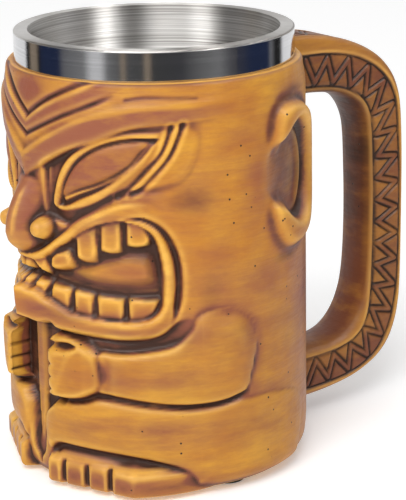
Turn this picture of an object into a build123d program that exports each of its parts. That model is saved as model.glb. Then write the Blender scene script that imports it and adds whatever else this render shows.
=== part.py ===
from build123d import *
from math import cos, radians, sin, sqrt
import os

# Tiki mug: a carved resin body and handle cast round a double-walled stainless liner.
# Millimetres, +Z up. The origin is on the cup's axis at the floor, the face looks along -Y and
# the handle stands out along +Y. Carvings are dimensioned by the angle round the cup, from 0 at
# the nose to 90 at the figure's left side (+X), and by height.

# Liner
RIM_TOP = 146.3          # overall height
RIM_R = 46.0             # outside of the rim and of the polished band
MOUTH_R = 41.4           # inside of the mouth
SHEET = 0.6              # steel thickness
BAND_LOW = 128.0         # the band runs down to here, 8.5 mm below the resin's top edge
NECK_LOW = 124.0         # below the band the sleeve necks in
SLEEVE_R = 43.0          # outside of the sleeve below the neck
SLEEVE_LOW = 8.0
CUP_STRAIGHT = 116.0     # the inner cup is straight above this height and tapers below it
CUP_LOW_R = 38.0
CUP_FLOOR = 14.0

# Resin body
WALL_R = 49.5
RESIN_TOP = 136.5
RESIN_LOW = 2.0          # the body stands on its pads
BASE_R = 48.4
BASE_ROUND = 5.0
LIP_R = 48.5             # top edge, where the band comes out

# Handle
HANDLE_WIDTH = 19.0
WINDOW_Y = 84.5          # inner face of the grip
WINDOW_TOP = 116.5
WINDOW_LOW = 26.0
GROOVE_W = 1.0
GROOVE_DEEP = 0.7

# Foot pads
PAD_R = 5.5
PAD_CIRCLE_R = 38.0

os.makedirs("parts", exist_ok=True)


def wrapped(points):
    """Angle and height on the wall -> front-view coordinates."""
    return [(WALL_R * sin(radians(a)), z) for a, z in points]


def side_view(points):
    """Angle and height on the wall -> side-view coordinates."""
    return [(-WALL_R * cos(radians(a)), z) for a, z in points]


def raised(points, side_r, front_r):
    """A front-view outline that stands out to an oval plan, side_r by front_r."""
    with BuildPart() as block:
        with BuildSketch(Plane.XZ.offset(5)):
            with BuildLine():
                Polyline(*wrapped(points), close=True)
            make_face()
        extrude(amount=70)
        with BuildSketch(Plane.XY):
            Ellipse(side_r, front_r)
        extrude(amount=RESIN_TOP, mode=Mode.INTERSECT)
    return block.part


def raised_side(points, out_r):
    """A side-view outline that stands out to radius out_r."""
    with BuildPart() as block:
        with BuildSketch(Plane.YZ.offset(15)):
            with BuildLine():
                Polyline(*side_view(points), close=True)
            make_face()
        extrude(amount=60)
        with BuildSketch(Plane.XY):
            Circle(out_r)
        extrude(amount=RESIN_TOP, mode=Mode.INTERSECT)
    return block.part


def pocket(points, floor_r):
    """A cutter for a front-view outline, down to radius floor_r."""
    with BuildPart() as cutter:
        with BuildSketch(Plane.XZ.offset(5)):
            with BuildLine():
                Polyline(*wrapped(points), close=True)
            make_face()
        extrude(amount=70)
        with BuildSketch(Plane.XY):
            Circle(floor_r)
        extrude(amount=RESIN_TOP, mode=Mode.SUBTRACT)
    return cutter.part


def pocket_side(points, floor_r):
    """A cutter for a side-view outline, down to radius floor_r."""
    with BuildPart() as cutter:
        with BuildSketch(Plane.YZ.offset(15)):
            with BuildLine():
                Polyline(*side_view(points), close=True)
            make_face()
        extrude(amount=60)
        with BuildSketch(Plane.XY):
            Circle(floor_r)
        extrude(amount=RESIN_TOP, mode=Mode.SUBTRACT)
    return cutter.part


def groove(points, width, floor_r):
    """A cutter that follows a front-view line, down to radius floor_r."""
    with BuildPart() as cutter:
        with BuildSketch(Plane.XZ.offset(5)):
            with BuildLine():
                Polyline(*wrapped(points))
            trace(line_width=width)
        extrude(amount=70)
        with BuildSketch(Plane.XY):
            Circle(floor_r)
        extrude(amount=RESIN_TOP, mode=Mode.SUBTRACT)
    return cutter.part


# Outlines of the liner, each as radius and height

sleeve_outside = [
    (0, SLEEVE_LOW), (SLEEVE_R, SLEEVE_LOW), (SLEEVE_R, NECK_LOW), (RIM_R, BAND_LOW),
    (RIM_R, RIM_TOP - SHEET), (0, RIM_TOP - SHEET),
]
body_outline = [(0, RESIN_LOW), (BASE_R, RESIN_LOW), (WALL_R, 16), (WALL_R, 126), (LIP_R, RESIN_TOP), (0, RESIN_TOP)]

# Inner cup: drawn steel, its flat rim turned out over the sleeve's edge

with BuildPart() as inner_cup:
    with BuildSketch(Plane.XZ):
        with BuildLine():
            Polyline(
                (0, CUP_FLOOR), (CUP_LOW_R, CUP_FLOOR), (MOUTH_R, CUP_STRAIGHT), (MOUTH_R, RIM_TOP),
                (RIM_R, RIM_TOP), (RIM_R, RIM_TOP - SHEET), (MOUTH_R + SHEET, RIM_TOP - SHEET),
                (MOUTH_R + SHEET, CUP_STRAIGHT), (CUP_LOW_R + SHEET, CUP_FLOOR - SHEET),
                (0, CUP_FLOOR - SHEET), close=True,
            )
        make_face()
    revolve(axis=Axis.Z)
    rim_edge = inner_cup.edges().filter_by(GeomType.CIRCLE).group_by(Axis.Z)[-1].sort_by(SortBy.RADIUS)[-1]
    fillet(rim_edge, SHEET * 0.8)
    floor_edge = inner_cup.edges().filter_by(GeomType.CIRCLE).filter_by_position(Axis.Z, CUP_FLOOR, CUP_FLOOR)
    fillet(floor_edge, 5)

# Outer sleeve: the polished band and the wall that the resin hides

with BuildPart() as outer_sleeve:
    with BuildSketch(Plane.XZ):
        with BuildLine():
            Polyline(
                (SLEEVE_R - SHEET, SLEEVE_LOW), (SLEEVE_R, SLEEVE_LOW), (SLEEVE_R, NECK_LOW),
                (RIM_R, BAND_LOW), (RIM_R, RIM_TOP - SHEET), (RIM_R - SHEET, RIM_TOP - SHEET),
                (RIM_R - SHEET, BAND_LOW), (SLEEVE_R - SHEET, NECK_LOW), close=True,
            )
        make_face()
    revolve(axis=Axis.Z)

# Sleeve base: the disc welded into the sleeve's lower end

with BuildPart() as sleeve_base:
    with BuildSketch(Plane.XY.offset(SLEEVE_LOW)):
        Circle(SLEEVE_R - SHEET)
    extrude(amount=0.8)

# Brow band and the eye's rim, opening and ball

brow = raised(
    [(0, 112.5), (9.6, 117.2), (19.7, 121.6), (29.8, 125.3), (40, 127.5), (50, 129.1), (60, 129.4),
     (69.6, 129.7), (69.6, 125), (60.2, 124.4), (47.2, 122.8), (36.4, 119.7), (25.5, 116),
     (17.5, 113.1), (0, 105)], 50.6, 51.2)
eye_rim = raised(
    [(13.9, 95.6), (14.6, 101.2), (17.5, 107.5), (22.6, 113.1), (29.1, 118), (36.4, 120.8),
     (47.2, 122), (57, 121.5), (53.7, 115.6), (50.1, 110.6), (45.8, 106.9), (40.7, 103.1),
     (36.4, 100), (31.3, 97.8), (25.5, 96.3), (18.3, 95.3)], 50.6, 50.6)
eye_opening = pocket(
    [(15.4, 95.9), (17.5, 101.2), (20.4, 106.2), (25.5, 111.9), (32.7, 115.9), (40, 118.4),
     (47.2, 119.5), (56.3, 119.2), (54.5, 117.2), (50.1, 112.5), (45, 108.8), (39.3, 105),
     (32.7, 101.9), (25.5, 99), (19.7, 96.2)], 46.6)
eye_ball = raised(
    [(20, 99), (22.5, 105.5), (27.5, 110.8), (33.5, 114.2), (40, 116.4), (47, 117.2), (50.8, 116),
     (46.5, 111.8), (40.5, 108), (33, 104.3), (26, 101.3)], 48.6, 48.6)
crow_feet = [
    groove([(61, 121.2), (57.3, 113.8), (51.6, 108.8), (45.8, 103.1), (40, 100)], 0.9, 48.9),
    groove([(65.3, 122.8), (63.1, 118.1), (60.2, 113.1), (54.5, 107.5), (49.4, 103.1), (44.3, 100)],
           0.9, 48.9),
]

# Forehead: two chevron grooves, one above the other

forehead = [
    groove([(-0.8, 122.6), (0, 123), (10.3, 128.1), (19.7, 131.9), (29.1, 135), (33.5, 136.3)], 1.2, 48.5),
    groove([(-0.8, 117.7), (0, 118), (10.3, 121.6), (19.7, 125.3), (29.8, 128.8), (40.7, 132.8)], 1.2, 48.5),
]

# Mouth: lips that stand out as a muzzle, the hollow between them, the tongue and the teeth

muzzle = raised(
    [(0, 79.5), (10.3, 83.5), (17.5, 87.4), (24, 91.8), (29.8, 94.2), (36.4, 97), (43.6, 99), (50.8, 99.4),
     (57.3, 94.2), (62.4, 89.9), (65.3, 84.9), (65.3, 76), (64.9, 66.8), (61.7, 59.9), (58.8, 56.8),
     (54.5, 54.2), (49.4, 53.3), (40, 53.1), (29.1, 53.3), (14.6, 53.9), (0, 54.2)], 51, 54.6)
mouth_hollow = pocket(
    [(-1, 74.6), (7.4, 77), (14.6, 81.4), (20.4, 84.6), (27, 88.3), (33.5, 90.8), (40, 92.2), (45.8, 92.1),
     (49.4, 91.1), (53, 88.9), (55.2, 85.5), (56.6, 80.5), (57.4, 75.5), (57.4, 70.5), (57, 65.5),
     (55.5, 63), (53, 61.1), (49.4, 60.2), (40, 59.8), (29.1, 60.8), (20.4, 61.1), (14.6, 62.4),
     (10.3, 63.6), (5.2, 64.9), (-1, 65.2)], 47.2)
lip_groove = groove(
    [(42, 92.9), (50.1, 92.9), (54.5, 91.1), (58.1, 88.3), (61, 84.2), (63.1, 79.2), (63.9, 73),
     (63.5, 68), (62.1, 60.5)], 1.4, 48.6)
tongue = raised(
    [(27, 74.5), (33, 80.5), (43.6, 82), (52, 80), (54.5, 76), (50, 72), (40, 71), (30, 71.5)], 49.2, 49.2)
teeth = [raised(outline, 50, 53.6) for outline in (
    [(-1, 65), (8.9, 63.6), (8.9, 69.7), (-1, 69.8)],
    [(9.9, 63.2), (20.7, 61), (20.7, 69.9), (9.9, 70)],
    [(21.7, 60.8), (30.6, 60.4), (30.6, 69.1), (21.7, 69.8)],
    [(31.6, 60.4), (42.7, 59.6), (42.7, 68.5), (31.6, 69)],
    [(43.8, 59.8), (52, 60.6), (56, 67.4), (43.8, 68.4)],
    [(-1, 71.3), (8.3, 71.1), (8.3, 78.5), (-1, 75.2)],
    [(10.1, 73.4), (22.8, 76.4), (20.2, 85.4), (10.1, 79.2)],
    [(23.3, 80.3), (31.8, 79), (32.6, 91), (24.4, 87.5)],
    [(33.6, 83), (41.3, 82.4), (42.4, 93), (33.9, 91.5)],
    [(43.9, 84.6), (50.6, 84.2), (52.6, 89.9), (44.3, 92.6)],
)]

# Nose: a wedge from the brow to the upper lip, with a rounded wing each side

with BuildPart() as nose:
    with BuildSketch(Plane.YZ):
        with BuildLine():
            Polyline((-44, 107), (-50.4, 107), (-51.4, 102), (-58.5, 84), (-57.6, 81.4), (-52, 77), (-44, 77),
                     close=True)
        make_face()
    extrude(amount=12, both=True)
    with BuildSketch(Plane.XZ.offset(40)):
        with BuildLine():
            Polyline((0, 110), (3.4, 107), (6.4, 97), (9.6, 90), (9.8, 84.5), (3, 80), (0, 78.6), (0, 110))
        make_face()
    extrude(amount=30, mode=Mode.INTERSECT)
    with Locations((7.4, -52.4, 86.6)):
        Sphere(3.8)

# Hand: a fist with a thumb over four fingers, between the chest strip and the forearm

with BuildPart() as hand:
    with BuildSketch(Plane.XZ.offset(30)):
        with BuildLine():
            Polyline((11.8, 30.4), (17.5, 30.4), (27.6, 35), (27.6, 46.8), (11.8, 46.8), close=True)
        make_face()
    extrude(amount=40)
    with BuildSketch(Plane.XZ.offset(30)):
        with BuildLine():
            Polyline((11.8, 49), (19.4, 48.6), (26, 47.6), (24.5, 52.4), (11.8, 52), close=True)
        make_face()
    extrude(amount=40)
    with BuildSketch(Plane.XY):
        Circle(54)
    extrude(amount=RESIN_TOP, mode=Mode.INTERSECT)
    with Locations(*[(11.8, -53, z) for z in (41.9, 37.2, 33.4)]):
        Box(3.4, 20, 0.9, mode=Mode.SUBTRACT)

thumb_slot = pocket([(13.8, 46.8), (30, 46.2), (30, 47.8), (22, 48.7), (13.8, 49)], 49.8)
chest_hollow = pocket([(-1, 28.5), (13.8, 29.5), (13.8, 52), (9, 55.5), (-1, 55.5)], 45.2)
chest_strip = raised([(-1, 27), (3.6, 27), (3.6, 56), (-1, 56)], 46.8, 46.8)
chest_groove = groove([(3.6, 29), (2.6, 16), (1.6, 9)], 0.9, 48.6)

# Arm: forearm, elbow and shoulder

forearm = raised(
    [(29, 33), (31.3, 46.2), (40, 48.1), (50.8, 49), (61, 50.6), (71, 54), (75, 60), (75, 40), (74, 31.4),
     (60.2, 31.2), (50.8, 32.2), (40, 33.4)], 51.8, 51.8)
upper_arm = raised_side(
    [(58, 50), (66, 56.5), (71, 61.5), (80, 63.2), (89, 62), (96, 58), (97, 52), (95.9, 45), (93.6, 38),
     (89, 33), (80, 31), (68, 31), (58, 32)], 52.2)

# Leg, hip and foot

leg = raised(
    [(6, 28), (4.5, 24.4), (3.8, 20), (4.5, 15), (7, 11.6), (11, 14.1), (19.7, 14.4), (29.1, 14.4), (40, 13.8),
     (50.8, 11.9), (62.1, 9.7), (72, 12), (72, 29.6), (60, 30), (40, 30.6), (25.5, 30), (12, 29)], 51.2, 51.4)
hip = raised_side(
    [(64, 11), (80, 9.6), (100, 10.5), (118, 14), (126, 20), (122, 27), (110, 30.6), (95, 31), (64, 30)], 50.8)

with BuildPart() as foot:
    with BuildSketch(Plane.XY.offset(RESIN_LOW)):
        with BuildLine():
            Polyline((8.7, -40), (8.7, -51.3), (23, -46.6), (37, -39.6), (39.6, -36.4), (44.5, -21.5), (30, -18),
                     close=True)
        make_face()
    extrude(amount=7.4)
    with Locations(*[(x, y, 6) for x, y in ((13.9, -49.6), (23.4, -46.4), (31.2, -42.6))]):
        Cylinder(0.9, 12, mode=Mode.SUBTRACT)

# Ear: a C-shaped shell, open towards the cheek

ear = raised_side(
    [(103.5, 113), (105, 121), (109, 125), (116, 126), (124, 124.6), (131, 120), (136.5, 111), (138.5, 101),
     (137, 91), (133, 83.5), (126, 78), (117, 76), (108.5, 77.6), (104.8, 83), (103.8, 93)], 52.4)
ear_bowl = pocket_side(
    [(102, 113), (108, 113.2), (112, 115.6), (118, 117.4), (124.5, 115.6), (129.6, 108.6), (131, 101),
     (128.4, 93.6), (122, 89.6), (114, 91), (102, 93.4)], 47.8)
ear_ridge = raised_side(
    [(113.5, 112), (119.4, 112), (125.4, 108), (127.6, 101.4), (124, 95.4), (118, 92.8), (118.8, 95),
     (123, 98), (124.4, 102), (122, 106.4), (116.6, 109.6)], 49.8)

# Resin body: each carving goes on both sides of the face, then the liner's seat is bored out

with BuildPart() as body_casting:
    with BuildSketch(Plane.XZ):
        with BuildLine():
            Polyline(*body_outline, close=True)
        make_face()
    revolve(axis=Axis.Z)
    base_edge = body_casting.edges().filter_by(GeomType.CIRCLE).filter_by_position(Axis.Z, RESIN_LOW, RESIN_LOW)
    fillet(base_edge, BASE_ROUND)
    lip_edge = body_casting.edges().filter_by(GeomType.CIRCLE).filter_by_position(Axis.Z, RESIN_TOP, RESIN_TOP)
    fillet(lip_edge, 1.2)
    for group, mode in (
        ((brow, eye_rim, muzzle), Mode.ADD),
        ((eye_opening, *crow_feet, *forehead, mouth_hollow, lip_groove), Mode.SUBTRACT),
        ((eye_ball, tongue, *teeth, nose.part, forearm, upper_arm, leg, hip, foot.part), Mode.ADD),
        ((chest_hollow,), Mode.SUBTRACT),
        ((chest_strip, hand.part, ear), Mode.ADD),
        ((thumb_slot, chest_groove, ear_bowl), Mode.SUBTRACT),
        ((ear_ridge,), Mode.ADD),
    ):
        for carving in group:
            add(carving, mode=mode)
            mirror(carving, about=Plane.YZ, mode=mode)
    with BuildSketch(Plane.XZ):
        with BuildLine():
            Polyline(*sleeve_outside, close=True)
        make_face()
    revolve(axis=Axis.Z, mode=Mode.SUBTRACT)

# Handle: a D-shaped grip with a grooved panel and a zigzag on each side

panel_outer = [
    (55.4, 130.6), (65, 130.2), (73.3, 128.9), (80, 126.8), (86.7, 123.9), (91.7, 119.3), (95, 114.3),
    (96.7, 108.5), (97.5, 96), (98, 83.5), (98, 58.5), (97.5, 46), (96.4, 37.7), (94.6, 29.3),
    (91.5, 22.2), (87.2, 18.2), (82.5, 15.3), (75.5, 13), (67.8, 12), (60.8, 11.4), (55.6, 11.2),
]
panel_inner = [
    (55.4, 119.5), (65, 118.9), (71.7, 117.7), (77.5, 115.6), (82.5, 112.2), (85, 106.8), (86.1, 99.3),
    (86.7, 87.7), (87, 75.2), (86.8, 62.7), (86.5, 54.3), (85.8, 43.5), (84.6, 33.5), (82.2, 28.4),
    (78.7, 25.5), (73.8, 23.6), (68.2, 22.6), (62.7, 22.2), (55.8, 22),
]


def spaced(points, count):
    """count + 1 points at equal steps along a line of points."""
    steps = [0.0]
    for (y0, z0), (y1, z1) in zip(points, points[1:]):
        steps.append(steps[-1] + sqrt((y1 - y0) ** 2 + (z1 - z0) ** 2))
    found = []
    for k in range(count + 1):
        want = steps[-1] * k / count
        i = max(j for j in range(len(steps) - 1) if steps[j] <= want)
        t = (want - steps[i]) / (steps[i + 1] - steps[i])
        (y0, z0), (y1, z1) = points[i], points[i + 1]
        found.append((y0 + t * (y1 - y0), z0 + t * (z1 - z0)))
    return found


ZIGZAGS = 19
outer_tips = spaced(panel_outer, 2 * ZIGZAGS)
inner_tips = spaced(panel_inner, 2 * ZIGZAGS)
zigzag = [(outer_tips if k % 2 else inner_tips)[k] for k in range(2 * ZIGZAGS + 1)]

with BuildPart() as handle:
    with BuildSketch(Plane.YZ):
        with BuildLine():
            Polyline((55, 8.1), (44, 8.1), (44, WINDOW_LOW), (WINDOW_Y - 18, WINDOW_LOW))
            RadiusArc((WINDOW_Y - 18, WINDOW_LOW), (WINDOW_Y, WINDOW_LOW + 18), -18)
            Line((WINDOW_Y, WINDOW_LOW + 18), (WINDOW_Y, WINDOW_TOP - 14))
            RadiusArc((WINDOW_Y, WINDOW_TOP - 14), (WINDOW_Y - 14, WINDOW_TOP), -14)
            Polyline((WINDOW_Y - 14, WINDOW_TOP), (44, WINDOW_TOP), (44, 137.7), (51, 137.7))
            Spline((51, 137.7), (70, 135.2), (80, 131.8), (90, 125.6), (96.7, 116.8), (99.2, 104.3),
                   (99.8, 87.7), (99.6, 62.7), (99.2, 41.8), (97.5, 31), (93.3, 21), (85.4, 14.4),
                   (76.9, 10.6), (67.8, 9), (55, 8.1))
        make_face()
    extrude(amount=HANDLE_WIDTH / 2, both=True)
    side_faces = handle.faces().filter_by(Axis.X)
    window_edges = side_faces.edges().filter_by(lambda e: e.center().Y < WINDOW_Y + 1
                                                and WINDOW_LOW - 1 < e.center().Z < WINDOW_TOP + 1
                                                and e.center().Y > 45)
    fillet(window_edges, 3.5)
    with BuildSketch(Plane.YZ.offset(HANDLE_WIDTH / 2 - GROOVE_DEEP)):
        for line in (panel_outer, panel_inner, zigzag):
            with BuildLine():
                Polyline(*line)
            trace(line_width=GROOVE_W)
    extrude(amount=5, mode=Mode.SUBTRACT)
    with BuildSketch(Plane.YZ.offset(GROOVE_DEEP - HANDLE_WIDTH / 2)):
        for line in (panel_outer, panel_inner, zigzag):
            with BuildLine():
                Polyline(*line)
            trace(line_width=GROOVE_W)
    extrude(amount=-5, mode=Mode.SUBTRACT)
    with BuildSketch(Plane.XZ):
        with BuildLine():
            Polyline((0, 0), (BASE_R, 0), (WALL_R, 16), (WALL_R, 126), (LIP_R, RESIN_TOP), (LIP_R, 140), (0, 140),
                     close=True)
        make_face()
    revolve(axis=Axis.Z, mode=Mode.SUBTRACT)

# Foot pads: four rubber discs under the rim of the base

pads = {}
for name, x, y in (
    ("foot_pad_front", 0, -PAD_CIRCLE_R), ("foot_pad_back", 0, PAD_CIRCLE_R),
    ("foot_pad_left", PAD_CIRCLE_R, 0), ("foot_pad_right", -PAD_CIRCLE_R, 0),
):
    with BuildPart() as pad:
        with Locations((x, y, RESIN_LOW / 2)):
            Cylinder(PAD_R, RESIN_LOW)
        fillet(pad.edges().group_by(Axis.Z)[0], 0.4)
    pads[name] = pad.part

body_casting.part.label = "body_casting"
handle.part.label = "handle"
inner_cup.part.label = "inner_cup"
outer_sleeve.part.label = "outer_sleeve"
sleeve_base.part.label = "sleeve_base"
export_step(body_casting.part, "parts/body_casting.step")
export_step(handle.part, "parts/handle.step")
export_step(inner_cup.part, "parts/inner_cup.step")
export_step(outer_sleeve.part, "parts/outer_sleeve.step")
export_step(sleeve_base.part, "parts/sleeve_base.step")
for name, pad in pads.items():
    pad.label = name
    export_step(pad, f"parts/{name}.step")
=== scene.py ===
import math

import bpy
import numpy as np
from mathutils import Matrix, Vector


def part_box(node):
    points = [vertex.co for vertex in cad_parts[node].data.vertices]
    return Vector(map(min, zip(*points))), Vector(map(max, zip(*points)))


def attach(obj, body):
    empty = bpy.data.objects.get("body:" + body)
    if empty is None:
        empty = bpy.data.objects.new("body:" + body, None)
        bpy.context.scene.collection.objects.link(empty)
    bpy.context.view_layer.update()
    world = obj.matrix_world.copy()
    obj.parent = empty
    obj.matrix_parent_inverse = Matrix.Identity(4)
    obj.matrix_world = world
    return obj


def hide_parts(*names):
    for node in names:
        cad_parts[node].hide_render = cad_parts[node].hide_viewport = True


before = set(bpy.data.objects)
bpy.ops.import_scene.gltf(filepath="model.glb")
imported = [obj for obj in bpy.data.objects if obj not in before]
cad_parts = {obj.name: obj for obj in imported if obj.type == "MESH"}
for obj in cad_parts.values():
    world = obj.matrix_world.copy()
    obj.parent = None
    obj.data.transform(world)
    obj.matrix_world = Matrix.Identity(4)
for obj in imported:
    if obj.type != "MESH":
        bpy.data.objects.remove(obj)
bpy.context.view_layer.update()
MM = 0.001

# Lengths are in millimetres until a mesh is made. A place on the cup is an angle round it, from 0 at
# the nose to 180 at the handle on both sides, and a height. Each outline is a list of such places.

RESIN_LOW, RESIN_TOP = (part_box("body_casting")[k][2] / MM for k in (0, 1))
RIM_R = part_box("outer_sleeve")[1][0] / MM
WALL_R = 49.5
LIP_R = 48.5
BASE_R = 48.4
SEAT_R = 43.0
CAP_R = 0.5                         # the small hole left in a flat end before it is capped
NECK_LOW, BAND_LOW, SLEEVE_LOW = 124.0, 128.0, 8.0
BASE_ROUND, TOP_ROUND = 5.5, 1.2    # the radii of the body's lower corner and top edge
LIMB_R = 49.3                       # where the arms and legs start to swell from the wall
EYE_FLOOR_R, MOUTH_FLOOR_R = 47.2, 46.9


# ---------------------------------------------------------------- curves and fields

def smooth_line(points, closed=False, steps=5):
    """A Catmull-Rom curve through points. A point given twice is a corner."""
    p = np.array(points, float)
    if closed:
        p = np.vstack([p[-1], p, p[0], p[1]])
    else:
        p = np.vstack([2 * p[0] - p[1], p, 2 * p[-1] - p[-2]])
    t = np.linspace(0, 1, steps, endpoint=False)[:, None]
    runs = []
    for a, b, c, d in zip(p, p[1:], p[2:], p[3:]):
        runs.append(0.5 * (2 * b + (c - a) * t + (2 * a - 5 * b + 4 * c - d) * t ** 2
                           + (3 * b - a - 3 * c + d) * t ** 3))
    line = np.vstack(runs + ([] if closed else [p[-2][None]]))
    keep = np.ones(len(line), bool)
    keep[1:] = np.hypot(*(line[1:] - line[:-1]).T) > 1e-6
    return line[keep]


def distance(x, y, line, closed=False, reach=9.0):
    """Distance of each point from a line, exact up to reach and no less than reach beyond it."""
    if closed:
        line = np.vstack([line, line[:1]])
    lo, hi = line.min(0) - reach, line.max(0) + reach
    near = (x > lo[0]) & (x < hi[0]) & (y > lo[1]) & (y < hi[1])
    px, py = x[near], y[near]
    best = np.full(px.shape, reach ** 2)
    for (ax, ay), (bx, by) in zip(line, line[1:]):
        dx, dy = bx - ax, by - ay
        t = np.clip(((px - ax) * dx + (py - ay) * dy) / (dx * dx + dy * dy), 0, 1)
        best = np.minimum(best, (px - ax - t * dx) ** 2 + (py - ay - t * dy) ** 2)
    out = np.full(x.shape, reach)
    out[near] = np.sqrt(best)
    return out


def inside(x, y, line):
    """Which points a closed line holds."""
    held = np.zeros(x.shape, bool)
    for (ax, ay), (bx, by) in zip(line, np.roll(line, -1, 0)):
        if ay != by:
            held ^= ((y >= ay) != (y >= by)) & (x < ax + (y - ay) * (bx - ax) / (by - ay))
    return held


def ease(t):
    """From 0 to 1 with a level start and end, as t goes from 0 to 1."""
    t = np.clip(t, 0, 1)
    return t * t * (3 - 2 * t)


def bell(t):
    """1 where t is 0, falling away smoothly on both sides."""
    return np.exp(-t ** 2)


def blur(field, x_mm, y_mm, size):
    """A Gaussian blur by size millimetres over an uneven grid: rows are y_mm, columns x_mm."""
    out = field
    for axis, place in ((0, y_mm), (1, x_mm)):
        weight = np.exp(-0.5 * ((place[:, None] - place[None]) / size) ** 2) * np.gradient(place)[None]
        weight /= weight.sum(1, keepdims=True)
        out = weight @ out if axis == 0 else out @ weight.T
    return out


def spaced_steps(stops):
    """Places from the first stop to the last, at each stretch's own step."""
    places = [stops[0][0]]
    for (start, step), (end, _) in zip(stops, stops[1:]):
        count = max(1, round((end - start) / step))
        places += list(start + (end - start) * (np.arange(count) + 1) / count)
    return np.array(places)


def through(points, place):
    """A smooth value through points of rising place, which never swings past them."""
    x, y = np.array(points, float).T
    dx = np.diff(x)
    s = np.diff(y) / dx
    product = s[1:] * s[:-1]
    mean = 2 * product / (s[1:] + s[:-1] + 1e-12)
    m = np.concatenate([s[:1], np.where(product > 0, mean, 0), s[-1:]])
    k = np.clip(np.searchsorted(x, place) - 1, 0, len(dx) - 1)
    t = np.clip((place - x[k]) / dx[k], 0, 1)
    return (y[k] + (y[k + 1] - y[k]) * t * t * (3 - 2 * t)
            + dx[k] * (m[k] * t * (1 - t) ** 2 - m[k + 1] * t * t * (1 - t)))


def soft_max(a, b, width):
    """The greater of two fields, with a small fillet where they meet."""
    return np.maximum(a, b) + width * np.exp(-np.abs(a - b) / width * 1.4) * 0.35


# ---------------------------------------------------------------- the carved body

ANGLES = spaced_steps([
    (0, 0.6), (12, 0.25), (15, 0.64), (72, 1.5), (98, 0.75), (114, 0.8), (136, 0.95), (146, 5.0),
    (180, 0)])
HEIGHTS = spaced_steps([(RESIN_LOW, 0.65), (16, 0.8), (30, 0.59), (134, 0.38), (RESIN_TOP, 0)])
COLUMN, Z = np.meshgrid(ANGLES, HEIGHTS)
U_MM = np.radians(ANGLES) * WALL_R

# The inner side of each fist is a flat wall, so in those rows the columns from 12 to 15 climb it.
HAND_X, HAND_LOW, HAND_HIGH, CHEST_R, FIST_R = 11.8, 31.0, 55.2, 45.3, 53.8
WALL_START, WALL_END, WARP_END = 12.0, 15.0, 22.0
FINGER_GROOVES = (43.9, 39.5, 35.4)
TOE_GROOVES = (15.7, 26.1, 36.2)
CLIMB = (COLUMN - WALL_START) / (WALL_END - WALL_START)
ON_FIST_WALL = (COLUMN > WALL_START) & (COLUMN < WALL_END)
HAND_ROWS = ease((Z - HAND_LOW) / 1.6) * ease((HAND_HIGH - Z) / 1.6)
NICKS = sum(bell((Z - z) / 0.55) for z in FINGER_GROOVES)
SIDE_X = HAND_X + 0.8 * NICKS


def hand_angles():
    """The true angle of each grid point, once the fists' inner walls have their columns."""
    climb = CHEST_R + (FIST_R - CHEST_R) * np.clip(CLIMB, 0, 1)
    on_side = np.degrees(np.arcsin(SIDE_X / climb))
    foot = np.degrees(np.arcsin(SIDE_X / CHEST_R))
    top = np.degrees(np.arcsin(SIDE_X / FIST_R))
    after = top + (COLUMN - WALL_END) * (WARP_END - top) / (WARP_END - WALL_END)
    beyond = np.where(COLUMN <= WALL_END, on_side, after)
    warped = np.where(COLUMN < WALL_START, COLUMN * foot / WALL_START, beyond)
    return COLUMN + HAND_ROWS * np.where(COLUMN < WARP_END, warped - COLUMN, 0)


ANGLE = hand_angles()
U = np.radians(ANGLE) * WALL_R


def on_wall(points):
    return [(math.radians(a) * WALL_R, z) for a, z in points]


class Outline:
    """A closed outline on the wall: signed distance, negative inside."""

    def __init__(self, points, steps=5):
        line = smooth_line(on_wall(points), closed=True, steps=steps)
        gap = distance(U, Z, line, closed=True)
        self.held = inside(U, Z, line)
        self.gap = np.where(self.held, -gap, gap)

    def mask(self, width, shift=0.0):
        """1 inside and 0 outside, easing over width about the outline moved out by shift."""
        return ease(0.5 - (self.gap - shift) / width)


def line_gap(points):
    return distance(U, Z, smooth_line(on_wall(points)))


def along(points):
    """A height or radius by angle, through a few points."""
    return through(points, ANGLE)


def fade(start, end):
    """1 up to angle start, 0 from angle end."""
    return 1 - ease((ANGLE - start) / (end - start))


def bump(place, size):
    """A round hill of height 1 at a place, with its half-widths in degrees and millimetres."""
    return np.exp(-(((ANGLE - place[0]) / size[0]) ** 2 + ((Z - place[1]) / size[1]) ** 2))


def to_level(r, level, mask):
    return r + (level - r) * mask


def swell(r, outline, edge, height, shoulder, wall_width=1.3):
    """Raises an outline to a radius at its edge, and by a height more over a round shoulder."""
    rise = np.sqrt(np.clip(1 - (1 - np.clip(-outline.gap / shoulder, 0, 1)) ** 2, 0, 1))
    return to_level(r, np.maximum(r, edge + height * rise), outline.mask(wall_width, -0.2))


def wall():
    """The plain turned body: straight, drawn in a little at the base and the top edge."""
    r = WALL_R - (WALL_R - BASE_R) * ease((14 - Z) / 14) - (WALL_R - LIP_R) * ease((Z - 127) / 9)
    corner = np.clip((RESIN_LOW + BASE_ROUND - Z) / BASE_ROUND, 0, 1)
    edge = np.clip((Z - RESIN_TOP + TOP_ROUND) / TOP_ROUND, 0, 1)
    return r - BASE_ROUND * (1 - np.sqrt(1 - corner ** 2)) - TOP_ROUND * (1 - np.sqrt(1 - edge ** 2))


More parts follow.
